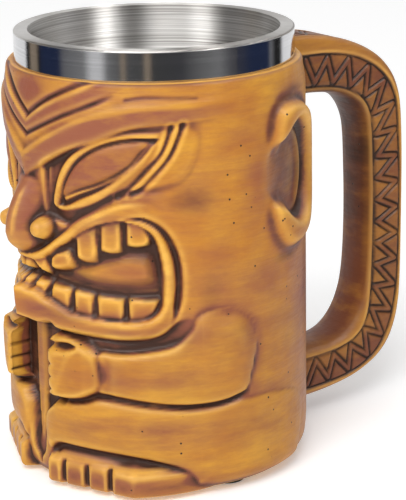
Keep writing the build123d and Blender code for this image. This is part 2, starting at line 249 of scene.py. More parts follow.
CHEVRON = along([(0, 122.6), (10.7, 128.2), (20, 132), (29.3, 135.1), (38, 138)])
SECOND_CHEVRON = along([(0, 117.4), (10.9, 121.8), (20, 125.4), (30, 128.9), (41, 132.9), (50, 136)])
BROW_TOP = along([
    (0, 111.4), (4.3, 113.6), (12.6, 118), (21.7, 122.2), (31, 125.8), (40.6, 127.9), (50.2, 129.4),
    (60, 129.8), (70, 130), (84, 130.4), (100, 131)])
BROW_LOW = along([
    (0, 103.8), (2, 105.4), (9, 109), (18.5, 113.4), (26.2, 116.3), (36.8, 119.9), (47.3, 123),
    (60, 124.5), (69.4, 125.2), (84, 126.4), (100, 127)])
TOE_TOP = along([(0, 9.9), (20, 9.9), (30, 9.8), (38, 9.4), (46, 9), (54, 9), (62, 9), (74, 8.6)])


def brow(r):
    """Forehead panel, chevron groove and the brow bands, which sweep from the nose to the temples."""
    proud = along([(0, 2.2), (12, 1.6), (30, 1.1), (60, 1.0), (76, 0.5), (86, 0), (180, 0)])
    over = Z - BROW_TOP
    under = -over
    span = BROW_TOP - BROW_LOW
    shelf = 0.55 * proud * np.exp(-np.clip(over, 0, None) / 7)
    r = r + np.where(over > 0, shelf + 0.45 * proud * bell(np.clip(over, 0, None) / 0.9), 0)
    belly = proud * (1 - 0.45 * np.clip(under / span, 0, 1) ** 2)
    r = r + np.where((under >= 0) & (under <= span), belly, 0)
    below = ease(1 - (under - span) / 1.2) * 0.55 * proud
    r = r + np.where(under > span, below, 0)
    r -= 1.0 * bell((Z - SECOND_CHEVRON) / 0.8) * fade(31, 43)
    r -= 0.45 * ease(Z - CHEVRON) * fade(30, 40)
    r -= 0.9 * bell((Z - CHEVRON - 0.9) / 1.3) * fade(16, 34)
    r += 0.35 * bell((Z - CHEVRON + 0.9) / 0.7) * fade(24, 36)
    thin = line_gap([(45, 131.6), (52, 132.4), (60, 132.2), (71, 131.6)])
    r -= 0.35 * bell(thin / 0.5)
    return r


def eye(r):
    """Socket, raised rim, almond opening with its ball, lower lid and the lines beside the eye."""
    socket = Outline([
        (9, 106), (10, 109), (18.5, 113.4), (26.2, 116.3), (36.8, 119.9), (47.3, 123), (60, 124.4),
        (69, 125), (73, 121), (72.4, 114), (69.5, 108.6), (65, 104.8), (59, 102.6), (52, 101.6),
        (44.3, 100.4), (37.7, 98.6), (31.8, 95.8), (26, 92.5), (20.6, 90), (14, 91.4), (10.4, 94)])
    depth = along([(0, 2.2), (14, 2.0), (30, 1.5), (50, 1.0), (64, 0.55), (72, 0.3), (180, 0.3)])
    r = r - depth * socket.mask(along([(0, 1.5), (45, 1.6), (62, 5), (180, 5)]), -0.4)
    rim = Outline([
        (13.4, 95.6), (13.9, 101), (17, 107.6), (22.2, 113), (29, 117), (36.6, 119.6), (46, 121.2),
        (57.4, 121.4), (57.4, 121.4), (54.8, 115.8), (50.6, 110.4), (46, 106.4), (40.7, 102.8),
        (36.4, 99.8), (31.3, 97.4), (25.5, 95.6), (18.4, 94.4)])
    r = r + depth * 0.95 * rim.mask(1.8, -0.4)
    outer = Outline([
        (56, 120.8), (62, 123.6), (66, 123.8), (71.5, 121), (71.6, 115), (69.6, 110), (66, 105.8),
        (59.5, 103.6), (53, 102.6), (46, 101.6), (40, 99.6), (45, 104), (51, 109.6), (55, 115)])
    r = r + (depth + 0.15) * outer.mask(3.0, -1.2)
    for line in ([(61.4, 122.6), (57.6, 114.4), (51.8, 108.8), (46, 103.6), (41.4, 101)],
                 [(65.6, 123.4), (63.4, 118.4), (60.2, 113.1), (54.5, 107.4), (50, 103.6), (46.4, 101.8)]):
        gap = line_gap(line)
        r = r - 1.05 * bell(gap / 0.75) + 0.25 * bell((gap - 1.6) / 0.8)
    opening = Outline([
        (15.2, 95.6), (15.2, 95.6), (17.3, 101.2), (20.2, 106.2), (25.4, 111.8), (32.7, 115.9),
        (40, 118.3), (47.4, 119.4), (56.6, 119.3), (56.6, 119.3), (54.5, 117), (50.1, 112.4), (45, 108.6),
        (39.3, 104.8), (32.7, 101.5), (25.5, 98.5), (19.7, 95.9)])
    r = to_level(r, EYE_FLOOR_R, opening.mask(1.1, -0.1))
    eyeball = Outline([
        (17.4, 99.4), (19.4, 104.4), (24.4, 110.6), (31.8, 115), (39.6, 117.4), (46.6, 118.5),
        (53.4, 118.3), (49.4, 114.2), (45.8, 110.6), (40, 107.2), (32.7, 104.1), (25.5, 101.9),
        (19, 99.4)])
    r = swell(r, eyeball, EYE_FLOOR_R + 0.7, 1.7, 5.5)
    lid = line_gap([
        (18.8, 98.4), (25.5, 100.9), (32.7, 103.2), (40, 106.3), (45.8, 109.9), (49.8, 113.6),
        (54, 117.8)])
    r = r + np.where(opening.held, 1.3 * bell(lid / 0.65), 0)
    pit = distance(U, Z, np.array(on_wall([(16.9, 97.0), (17.0, 97.1)])))
    r = r - 1.2 * bell(pit / 0.8)
    return r, eyeball


def mouth(r):
    """The muzzle, the hollow of the mouth, the inner lip, the tongue and two rows of teeth."""
    lip = Outline([
        (-6, 79.2), (0, 79.4), (6, 80.2), (11, 82.2), (15.4, 84.9), (21.1, 88.6), (26.7, 92.8),
        (31.8, 95.4), (37.7, 97.9), (44.3, 99.7), (51, 99.8), (57.2, 96.6), (62.8, 91), (66.4, 84.9),
        (67.4, 76.5), (66.6, 67.3), (64, 60.4), (59.4, 56.6), (54.5, 54.5), (49.6, 53.8), (40.7, 53.7),
        (30.7, 54.3), (18, 55.3), (6, 56.2), (0, 56.4), (-6, 56.2)])
    muzzle = along([
        (0, 54.3), (12, 53.7), (24, 52.7), (36, 51.7), (48, 50.9), (58, 50.3), (66, 49.7), (180, 49.5)])
    spread = along([(0, 1.6), (44, 1.8), (56, 7), (180, 7)])
    r = to_level(r, muzzle, lip.mask(spread, -0.5 - 0.3 * (spread - 1.6)))
    r = r + 0.3 * bell((lip.gap + 1.1) / 0.8) * ease((Z - 79) / 4) * fade(48, 58)
    upper = along([
        (0, 77), (7.4, 77.2), (12.9, 79), (18.7, 83), (23.6, 85.9), (29.3, 89.4), (35.1, 91.8), (41, 93.2),
        (46.3, 93.8), (60, 92)])
    r = r - 0.9 * ease(1 - (Z - upper) / 3.2) * (Z > upper - 0.5) * fade(40, 50) * lip.mask(1.0)
    hollow = Outline([
        (-6, 77), (0, 77), (7.4, 77.2), (12.9, 79), (18.7, 83), (23.6, 85.9), (29.3, 89.4), (35.1, 91.8),
        (41, 92.9), (46.3, 92.5), (49.7, 91.5), (53.1, 89.2), (55.2, 86), (56.6, 81), (57.4, 76),
        (57.4, 71), (57, 66.4), (55.5, 63.7), (53.1, 61.9), (49.7, 61), (40.9, 60.7), (31.1, 61.6),
        (23.5, 62.8), (18.6, 64.5), (15.1, 66), (11.1, 67.6), (7.9, 68.4), (0, 68.9), (-6, 68.4)])
    ridge = along([
        (0, 67.6), (9.2, 67), (16.6, 64), (24, 61), (31.8, 59.6), (41.3, 58.8), (46.6, 58.7), (51.1, 59.7),
        (60, 62)])
    roll = along([(0, 2.0), (15, 2.0), (30, 1.6), (45, 1.2), (56, 0.9), (64, 0.3), (180, 0)])
    low = np.clip((ridge - Z) / (ridge - 53), 0, 1)
    chin = lip.mask(1.2, -0.3) * (Z < 72)
    below_ridge = np.where(Z < ridge, 1 - 0.75 * low ** 1.6, bell((Z - ridge) / 2.2))
    r = r + roll * below_ridge * chin * fade(54, 66)
    r = r + 0.55 * bell((hollow.gap - 1.5) / 1.3) * ease((ANGLE - 40) / 10)
    crescent = line_gap([
        (43, 93.5), (46.3, 94.1), (50.4, 93.7), (54.6, 91.7), (58, 88.8), (60.8, 84.7), (62.6, 79.7),
        (63.3, 73.5), (63, 68.5), (61.8, 62.4), (60.6, 59.6)])
    wide = 0.55 + 0.75 * ease((ANGLE - 46) / 14) * ease((Z - 60) / 8)
    r = r - 2.3 * ease((ANGLE - 42) / 8) * ease((Z - 58) / 8) * bell(crescent / wide)
    r = to_level(r, MOUTH_FLOOR_R, hollow.mask(1.2, 0.1))
    tongue = Outline([
        (20, 76), (27, 79.4), (34, 82), (44, 84), (53, 83), (56.4, 78), (56.2, 72.4), (50, 70), (38, 70),
        (28, 71.6)])
    r = np.maximum(r, MOUTH_FLOOR_R + 2.5 * ease(-tongue.gap / 5.5) * tongue.held)
    line = line_gap([(16, 73), (26, 71.6), (36, 70.4), (46, 70), (55, 70.2)])
    r = r + 0.5 * bell(line / 0.5) * hollow.mask(1.0, -0.5)
    r, root = teeth(r)
    return r, lip, hollow, tongue, root


UPPER_TEETH = [
    [(0.3, 73.2), (4.9, 73.5), (5.0, 78), (0.3, 78)],
    [(5.4, 76.2), (9, 74.3), (12.8, 72.8), (13.4, 76), (13, 80), (5.4, 78.2)],
    [(14.2, 75.2), (20, 75.7), (25.4, 77.3), (24.4, 80), (22.5, 83.4), (17, 81.6), (14.2, 79.4)],
    [(25.6, 80.2), (29.6, 79.2), (33.8, 79.6), (34.3, 84), (33.8, 91), (29, 90), (25.6, 87.6)],
    [(34.7, 83.1), (38.8, 82.4), (42.8, 82.8), (43.1, 88), (42.8, 93.6), (38, 93), (34.8, 91.8)],
    [(44.1, 84.9), (48, 84.3), (53.2, 84.9), (53.4, 88), (51, 92), (46.3, 94), (44, 93.6)],
]
LOWER_TEETH = [
    [(0.3, 67), (5.7, 67), (5.7, 71.9), (0.3, 71.9)],
    [(6.3, 66), (13.4, 65), (13.4, 71.2), (6.3, 71.7)],
    [(14.2, 64), (23.4, 61.5), (23.5, 70.4), (19, 70.6), (14.2, 71)],
    [(24.2, 61.4), (32.2, 60.6), (32.3, 69.2), (28, 69.7), (24.2, 70.2)],
    [(33, 60.4), (43.3, 59.8), (43.5, 68.2), (38, 68.4), (33, 69)],
    [(44.3, 59.8), (50, 60.2), (54.4, 62.6), (57.2, 68), (50, 67.9), (44.2, 68.3)],
]


def teeth(r):
    """Two rows of domed blocks, with the lips lying over their roots, and how near a point is to a root."""
    level = along([(0, 53.2), (12, 52.4), (24, 51.5), (36, 50.6), (48, 49.9), (60, 49.3), (180, 49.3)])
    root = np.zeros_like(r)
    for points in UPPER_TEETH + LOWER_TEETH:
        tooth = Outline(points, steps=1)
        angles, heights = np.array(points).T
        upper = points in UPPER_TEETH
        from_edge = (Z - heights.min()) if upper else (heights.max() - Z)
        far = np.clip(from_edge / np.ptp(heights), 0, 1)
        across = np.clip(np.abs(ANGLE - angles.mean()) / np.ptp(angles) * 2, 0, 1)
        block = level - 0.35 * across ** 2 - 0.9 * far * (upper and angles.mean() < 26)
        block -= 0.8 * (1 - ease(-tooth.gap / 1.2))
        cover = tooth.mask(0.9, -0.12)
        root = np.maximum(root, cover * far * ease((block - r + 0.2) / 0.6))
        r = to_level(r, np.maximum(r, block), cover)
    return r, root


def nose(r):
    """A wedge from the brow to above the upper lip, with a rounded wing on each side."""
    heights = [77.5, 79.5, 81, 83, 86, 90, 94, 98, 102, 105, 108]
    tip = np.interp(Z, heights, [50.5, 53.6, 55.9, 57.6, 58.5, 58.1, 56.7, 54.6, 51.7, 50.7, 50.3])
    half = np.interp(Z, heights, [7.5, 8.4, 9.2, 9.8, 10.2, 9.9, 9.5, 9.2, 8.8, 8.4, 8])
    x = np.sin(np.radians(ANGLE)) * tip
    t = np.clip(x / half, 0, 1)
    flat = 0.2
    down = np.clip((t - flat) / (1 - flat), 0, 1)
    side = np.where(t < flat, 1 - 0.08 * (t / flat) ** 2, 0.92 * (1 - down ** 1.1))
    wedge = 48.4 + (tip - 48.4) * side
    on_nose = (t < 1) & (Z > 77.5) & (Z < 106.5) & (ANGLE < 40)
    r = np.where(on_nose, np.maximum(r, wedge - 1.6 * ease((Z - 102) / 4)), r)
    fold = line_gap([(11.3, 107.5), (11.0, 101), (11.4, 95), (12.6, 93.6)])
    r = r + 0.7 * bell(fold / 0.8)
    return ball(r, 9.4, 51.3, 88.2, 3.5, 3.5)


def ball(r, x, y, z, radius, tall):
    """Adds a ball centred x to the side and y forward of the axis, as seen from the axis."""
    level = radius ** 2 * (1 - ((Z - z) / tall) ** 2)
    far, turn = math.hypot(x, y), np.radians(ANGLE) - math.atan2(x, y)
    under = level - (far * np.sin(turn)) ** 2
    out = far * np.cos(turn) + np.sqrt(np.clip(under, 0, None))
    return np.where((level > 0) & (under > 0) & (np.cos(turn) > 0), soft_max(r, out, 1.0), r)


def cheek(r):
    """The soft cheek between the eye's mound, the ear and the shoulder."""
    return r + 0.6 * bump((76, 88), (14, 13)) - 0.5 * bump((70, 104), (10, 5))


def hands_and_arms(r):
    """Chest strip, fists held in front of it, forearms, elbows and shoulders."""
    chin = Outline([
        (-6, 57), (0, 57), (18, 56), (31, 55), (41, 54.3), (50, 54.3), (57, 56), (63, 60), (68, 61),
        (70, 57), (64, 52.6), (51, 50), (40, 48.6), (32, 47), (26, 44), (12, 44), (-6, 44)])
    r = r - 1.7 * chin.mask(2.0) * fade(60, 70)
    chest = Outline([
        (-6, 57), (0, 57), (10, 56.6), (17, 56), (17, 30), (12, 27.5), (7, 26), (5.4, 20), (4.6, 12),
        (2, 8.5), (-2, 8.5)])
    r = to_level(r, CHEST_R + 2.2 * ease((26 - Z) / 16), chest.mask(1.2, -0.3))
    strip_half = np.interp(Z, [8, 20, 32, 40, 57], [1.3, 2.6, 3.5, 3.7, 3.9])
    strip = ease((strip_half - np.sin(np.radians(ANGLE)) * 47) / 0.9) * ease((Z - 8) / 2) * ease((58 - Z) / 2)
    r = np.maximum(r, (47.4 - 0.5 * (U / 3.5) ** 2) * strip)
    fist = Outline([
        (6, 52), (13, 53.2), (18, 53.4), (24, 52.8), (29, 51.2), (32.4, 49), (33.6, 46), (34.6, 41.6),
        (34, 37.4), (30, 34.8), (24.5, 32.6), (18, 31.7), (13, 32), (6, 33)])
    back = 53.9 - 0.07 * (ANGLE - 13) - 0.9 * ease((ANGLE - 27) / 7) - 0.4 * ((Z - 42) / 9) ** 2
    knuckle = 0.35 * np.exp(-((ANGLE - 19 - 0.5 * (Z - 42)) / 2.0) ** 2)
    block = np.maximum(r, back + knuckle - 1.4 * (1 - ease(-fist.gap / 2.2)))
    beyond = COLUMN >= WALL_END
    r = to_level(r, block, fist.mask(1.3, -0.3) * beyond)
    slot = Outline([(8, 49.4), (14, 48.9), (19, 48.9), (24.6, 50.5), (20, 51.6), (14, 51.2), (8, 50.8)])
    r = r - 3.4 * slot.mask(1.4, -0.1) * beyond
    r = r - 0.9 * ease((15.6 - ANGLE) / 2.4) * NICKS * beyond
    r = r - 0.5 * bell((ANGLE - 12.7) / 0.9) * fist.mask(1.0) * beyond
    forearm = Outline([
        (33, 49.4), (40.7, 49.4), (51, 50.2), (61, 52), (67, 56.6), (70.4, 61.8), (78.9, 63.6), (87, 62.4),
        (93, 58), (95.4, 52), (94, 45.8), (92.4, 40.6), (90, 34.6), (85, 32.4), (78, 31.4), (69.3, 31.4),
        (60, 31.9), (51, 33), (40.7, 34.4), (33, 35.2), (31, 38), (31, 46)])
    r = swell(r, forearm, LIMB_R, 2.4, 7.5)
    shoulder = ease((ANGLE - 70) / 12) * ease((Z - 45) / 9)
    faded = WALL_R + 2.0 * ease(-forearm.gap / 8.5)
    r = r + shoulder * forearm.mask(2.0) * (np.minimum(r, faded) - r)
    muscle = bump((80, 56), (9, 7))
    inner_elbow = bump((67, 49), (5, 7)) * forearm.mask(2.0)
    wrist = bump((35.5, 42), (2.6, 8))
    r = r + 0.5 * muscle - 0.6 * inner_elbow - 0.8 * wrist
    top = r[:, [int(np.searchsorted(ANGLES, WALL_END))]]
    climb = CHEST_R + (top - CHEST_R) * CLIMB
    return np.where(ON_FIST_WALL, to_level(r, climb, HAND_ROWS), r)


def legs(r):
    """The thigh and shin as one long roll, with creases above and below, and the hip behind."""
    leg = Outline([
        (12.2, 30), (9, 28), (6.6, 25.3), (5.9, 20.9), (6.4, 16), (8.6, 12.8), (12.8, 15.2), (21, 15.4),
        (30, 15.3), (40.5, 14.8), (51, 13.2), (60, 11.4), (66, 8), (72, 1), (80, -6), (110, -6), (122, 6),
        (127, 21), (120, 27.5), (106, 30.6), (90, 31.6), (78, 31), (69, 30.8), (60, 31.2), (50, 31.9),
        (40, 32.9), (32, 33.2), (26, 31.6), (18, 30.6)])
    proud = along([(0, 2.0), (40, 1.9), (70, 1.5), (100, 1.2), (128, 0.9), (180, 0.9)])
    r = swell(r, leg, LIMB_R, proud, 6.5)
    r = np.where(Z < 30, np.minimum(r, wall() + proud + 0.2), r)
    crease = line_gap([
        (12, 31), (18, 31.4), (26, 32.4), (32, 34.2), (40.7, 33.6), (51, 32.4), (60, 31.5), (69.3, 31.1),
        (80, 31.6), (90, 33.6)])
    r = r - 1.6 * bell(crease / 0.9) * fade(84, 94) * (ANGLE > 9)
    sole = line_gap([(10, 12.6), (14, 14.2), (22, 14.4), (31, 14.1), (41, 13.3), (51, 11.9), (60.5, 10.3)])
    wide = 1.5 - 0.9 * ease((ANGLE - 50) / 12)
    return r - 2.2 * bell(sole / wide) * ease((ANGLE - 7) / 4) * fade(58, 64)


def feet(r):
    """A flat-faced toe block turned out from the middle, with three grooves that part four toes."""
    face = 50.4 / np.cos(np.radians(ANGLE - 23.1))
    side = along([
        (0, 58), (42, 57), (46, 54.6), (50, 53.6), (58, 51.8), (66, 50), (72, 48.6), (78, 47), (180, 47)])
    block = -np.logaddexp(-face / 0.35, -side / 0.35) * 0.35
    slope = 1.7 * np.logaddexp(0, (Z - TOE_TOP) / 0.25) * 0.25
    sole = 1.2 * (1 - np.sqrt(1 - np.clip((3.4 - Z) / 1.4, 0, 1) ** 2))
    inner = ease((ANGLE - 7.6) / 1.3)
    out = 46 + (block - slope - sole - 46) * inner
    for place in TOE_GROOVES:
        gap = U - math.radians(place) * WALL_R
        out = out - 2.6 * np.exp(-(gap / 0.75) ** 4) * ease((TOE_TOP + 1.6 - Z) / 1.2)
    behind = r - 2.5 * ease((TOE_TOP - Z) / 1.5) * fade(58, 68)
    return np.where((ANGLE > 7.6) & (ANGLE < 76), np.maximum(behind, out), r)


def ear(r):
    """A C-shaped shell open to the cheek, its bowl and the thin ridge inside the rim."""
    shell = Outline([
        (103.6, 113), (103.6, 113), (104.6, 119.4), (107, 123.6), (112, 125.6), (119, 125.4), (128, 123),
        (136, 118), (141.2, 110), (142.6, 100.5), (141, 91), (136, 84.4), (127, 79.8), (118.4, 78),
        (111.5, 78.8), (106.2, 83.4), (103.4, 90), (104.2, 95), (104.2, 95), (109, 93), (114, 96),
        (114, 108), (109, 112)])
    rise = along([(0, 2.6), (103, 2.6), (112, 3.4), (125, 3.2), (140, 2.2), (180, 2.2)])
    r = swell(r, shell, WALL_R + 0.6, rise - 0.6, 2.0, 2.0)
    shade = Outline([
        (101, 114), (102, 122), (106, 127.4), (112, 129.4), (121, 128.6), (130, 124.6), (128, 121),
        (110, 121), (106, 114)])
    r = r - 0.4 * shade.mask(4.0) * (1 - shell.mask(1.3, -0.2))
    bowl = Outline([
        (102, 110.4), (106.6, 112.6), (110.4, 115), (115, 118.2), (120.5, 119.4), (127, 117.4), (133, 112),
        (136.4, 104), (135.6, 96), (131, 89), (122.6, 85.6), (115.6, 87.6), (110, 91.4), (104, 94.8),
        (99.5, 98.4), (98.6, 104)])
    floor = along([(0, 49.5), (97, 49.5), (104, 48.4), (112, 47.2), (124, 46.8), (136, 47.4), (180, 47.4)])
    r = to_level(r, floor, bowl.mask(2.8, -0.3) * ease((ANGLE - 97) / 7))
    ridge = line_gap([
        (108.6, 111.2), (113.6, 114.8), (119.6, 116), (126.6, 112), (130.6, 104), (129.8, 96.4), (125, 90),
        (117.4, 89.4), (109, 93.4)])
    r = r + 1.7 * bell(ridge / 1.1) * bowl.mask(1.2, -0.2)
    return r, bowl


def ease_walls(r):
    """Rounds the surface a little more wherever it climbs steeply, so that no step shows the grid."""
    steep = np.hypot(np.gradient(r, HEIGHTS, axis=0), np.gradient(r, U_MM, axis=1))
    hand_side = (COLUMN > WALL_START - 1.5) & (COLUMN < WALL_END + 0.3)
    amount = ease((blur(steep, U_MM, HEIGHTS, 0.5) - 0.7) / 1.6) * (1 - HAND_ROWS * hand_side)
    r = r + amount * (blur(r, U_MM, HEIGHTS, 0.72) - r)
    at_ear = ease((ANGLE - 96) / 5) * ease((150 - ANGLE) / 5) * ease((Z - 71) / 4) * ease((134 - Z) / 4)
    return r + at_ear * (blur(r, U_MM, HEIGHTS, 0.95) - r)


def carve():
    """The radius of the carved body at each grid point, and the shapes that the paint follows."""
    r = wall()
    r = brow(r)
    r = cheek(r)
    r, eyeball = eye(r)
    r, lip, hollow, tongue, root = mouth(r)
    r = nose(r)
    r = hands_and_arms(r)
    r = legs(r)
    r = feet(r)
    r, bowl = ear(r)
    r = ease_walls(blur(r, U_MM, HEIGHTS, 0.34))
    shapes = dict(eyeball=eyeball, lip=lip, hollow=hollow, tongue=tongue, bowl=bowl, root=root)
    return r, shapes


# Where the red-brown wash with its painted shade, and the painted shade alone, are laid on more thickly, and
# where the edges get no paler wear or highlight: the place, the half-widths and the amount.
WASH_AND_SHADE_SPOTS = (
    ((2, 132), (7, 5), 0.8), ((0, 95), (12, 15), 1.0), ((11, 98), (5, 9), 0.6), ((42, 76), (18, 7), 0.45),
    ((34, 107), (15, 8), 0.75), ((27, 94), (12, 3.2), 0.8), ((48, 101.5), (12, 3), 0.7),
    ((70, 101), (9, 7), 0.7), ((66, 57), (9, 5), 0.75), ((30, 55.6), (34, 2.6), 0.7),
    ((6, 60), (20, 5), 0.55), ((60, 41), (22, 3.4), 0.5), ((36, 42), (5, 7), 0.5),
    ((30, 24), (28, 2.2), 0.4), ((64, 20), (24, 3), 0.45), ((78, 74), (7, 14), 0.4),
    ((100, 70), (12, 9), 0.4), ((92, 45), (6, 12), 0.4), ((120, 129), (11, 4), 0.7),
    ((114, 103), (12, 14), 0.95), ((118, 74), (10, 6), 0.55), ((97, 104), (8, 13), 0.6),
    ((60, 6), (16, 5), 0.35), ((14, 62), (18, 4.5), 0.85),
    ((46, 57), (20, 2.4), 0.6), ((42, 40), (12, 3), 0.6), ((66, 42), (8, 3), 0.5),
    ((55, 24), (22, 2.6), 0.6), ((24, 21.5), (10, 3), 0.45), ((40, 6), (40, 3.4), 0.5),
    ((0, 40), (7, 16), 0.8), ((98, 20), (12, 10), 0.3), ((132, 60), (18, 60), 0.6),
    ((112, 52), (14, 16), 0.3), ((90, 118), (10, 5), 0.3), ((44, 110), (10, 6), 0.6),
    ((22, 121), (14, 3), 0.6), ((20, 127), (10, 2.5), 0.55),
)
PAINTED_SHADE_SPOTS = (
    ((146, 60), (18, 70), 0.3), ((119, 128.6), (8, 1.8), 0.5), ((114, 75.4), (8, 2.2), 0.55),
    ((52, 53.4), (15, 1.8), 0.6), ((20, 61.6), (16, 3.2), 0.24), ((69, 99.5), (9, 4.5), 0.36),
    ((75, 68), (5, 8), 0.26),
)
NO_WEAR_OR_HIGHLIGHT_SPOTS = (
    ((0, 94), (10, 14), 0.8), ((0, 40), (9, 16), 0.8), ((14, 62), (20, 4), 0.75),
)


def with_spots(field, spots):
    for place, size, amount in spots:
        field = np.maximum(field, amount * bump(place, size))
    return field


def crease_shade_and_wash(r, fine, mid, broad, shapes, ledge):
    """Painted shade, partly a real dark wash: nearly black in the creases, the mouth, the ear and beside the
    chest strip, and darker towards the bottom.
    """
    # Painted shade wherever the relief is hollow, at three sizes.
    dark = 0.42 * np.clip(fine / 0.3, 0, 1) + 0.5 * np.clip(mid / 0.75, 0, 1)
    dark = dark + 0.22 * np.clip(broad / 1.8, 0, 1)
    mouth_floor = shapes["hollow"].mask(1.0, -0.4) * (r < 49.2) * (1 - shapes["tongue"].mask(7.0, -3.6))
    dark = np.maximum(dark, 0.72 * blur(mouth_floor, U_MM, HEIGHTS, 0.5))
    inner_ear = shapes["bowl"].mask(3.0) * ease((ANGLE - 97) / 14)
    dark = np.maximum(dark, 0.5 * inner_ear * ease((50.2 - r) / 1.5))
    chest = (COLUMN <= WALL_START) & (Z > 27) & (Z < 57) & (r < 46.6)
    dark = np.maximum(dark, 0.85 * blur(chest.astype(float), U_MM, HEIGHTS, 0.4))
    side = HAND_ROWS * (COLUMN > WALL_START) * (COLUMN < WALL_END + 0.5)
    dark = to_level(dark, np.clip(0.9 * NICKS + 0.8 * ease(1 - CLIMB / 0.3), 0, 1), side)
    dark = np.maximum(dark, 0.55 * ease((shapes["root"] - 0.6) / 0.4))
    low = (0.16 - 0.3 * ledge) * ease((64 - Z) / 10)
    return np.maximum(with_spots(dark, PAINTED_SHADE_SPOTS), low) * (1 - 0.8 * ledge)


def edge_wear_and_highlight(r, fine, mid, shapes, ledge):
    """Paler on sharp edges, partly wear where hands and cloths have rubbed and partly painted highlight, with
    a painted highlight line down the nose ridge and on the toes' top edge.
    """
    light = 0.64 * np.clip(-fine / 0.26, 0, 1) + 0.15 * np.clip(-mid / 0.9, 0, 1)
    no_wear_or_highlight = 0.8 * np.maximum(shapes["eyeball"].mask(2.0), shapes["tongue"].mask(5.0))
    light = light * (1 - with_spots(no_wear_or_highlight, NO_WEAR_OR_HIGHLIGHT_SPOTS))
    # A painted highlight line down the nose ridge.
    from_ridge = np.sin(np.radians(ANGLE)) * r - 1.9
    ridge = bell(from_ridge / 0.7) * ease((Z - 83) / 4) * ease((102 - Z) / 4)
    return np.maximum(light, 0.6 * np.maximum(ridge, ledge))


def red_wash_and_shade(mid, broad, shapes):
    """Red-brown wash at the roots of the teeth, on the eyeball and on the brow bands, and red-brown painted
    shade, partly wash, in the hollows and on some of the listed spots.
    """
    wash_and_shade = 0.75 * np.clip(mid / 0.45, 0, 1) + 0.7 * np.clip(broad, 0, 1)
    wash_and_shade = np.maximum(wash_and_shade, 0.95 * ease((shapes["root"] - 0.25) / 0.7))
    wash_and_shade = np.maximum(wash_and_shade, 0.9 * shapes["eyeball"].mask(2.0) * fade(46, 56))
    brow_band = ease((BROW_TOP - 0.6 - Z) / 1.2) * ease((Z - BROW_LOW + 0.8) / 1.2) * fade(60, 92)
    chevron_band = ease((CHEVRON - Z) / 1.2) * ease((Z - SECOND_CHEVRON) / 1.2) * fade(34, 50)
    wash_and_shade = np.maximum(wash_and_shade, np.maximum(0.95 * brow_band, 0.7 * chevron_band))
    return with_spots(wash_and_shade, WASH_AND_SHADE_SPOTS) * (1 - 0.9 * bump((11.5, 88.4), (4.2, 3.6)))


def paint(r, shapes):
    """The painted shade in the creases, the paler edges (wear and painted highlight) and the wash with its
    painted shade, each from 0 to 1, worked out from the relief.
    """
    relief = r - wall()
    # How hollow (above 0) or raised (below 0) the relief is at three sizes: this places the painted shade and
    # highlights.
    fine, mid, broad = (blur(relief, U_MM, HEIGHTS, size) - relief for size in (0.8, 1.9, 4.5))
    # The toes' top ledge: a painted highlight, with the painted shade taken off it.
    ledge = ease((Z - TOE_TOP) / 0.8) * ease((TOE_TOP + 2.6 - Z) / 1.2) * ease((ANGLE - 9) / 2) * fade(54, 62)
    dark = crease_shade_and_wash(r, fine, mid, broad, shapes, ledge)
    light = edge_wear_and_highlight(r, fine, mid, shapes, ledge)
    return [np.clip(layer, 0, 1) for layer in (dark, light, red_wash_and_shade(mid, broad, shapes))]


def set_back(r, lip):
    """Draws the sides of the muzzle in, so that in plan it is a prow with flat sides, not a barrel."""
    barrel = along([
        (0, 55.5), (12, 54.9), (24, 53.7), (36, 52.4), (48, 51.4), (58, 50.5), (66, 49.7), (180, 49.5)])
    prow = along([
        (0, 55.7), (8, 53.3), (16, 50.9), (24, 49.2), (31, 48.5), (37, 48.5), (43, 49.1), (50, 49.6),
        (60, 49.8), (66, 49.7), (180, 49.5)])
    turn = along([
        (0, 0), (8, 2.6), (16, 3.9), (24, 3.7), (30, 2.9), (36, 1.8), (42, 0.9), (48, 0.3), (56, 0),
        (180, 0)])
    drop = along([(0, 0), (8, 0.9), (16, 1.45), (24, 1.6), (36, 1.2), (48, 0.5), (62, 0), (180, 0)])
    amount = lip.mask(3.4, 0.6)
    deep = SEAT_R + 0.8
    drawn = deep + (r - deep) * (prow - deep) / (barrel - deep)
    return r + (drawn - r) * amount, ANGLE - turn * amount, Z - drop * amount


def both_sides(field):
    """A half-round field as one closed turn: the figure's right side, mirrored, then its left."""
    return np.hstack([field[:, :0:-1], field[:, :-1]])


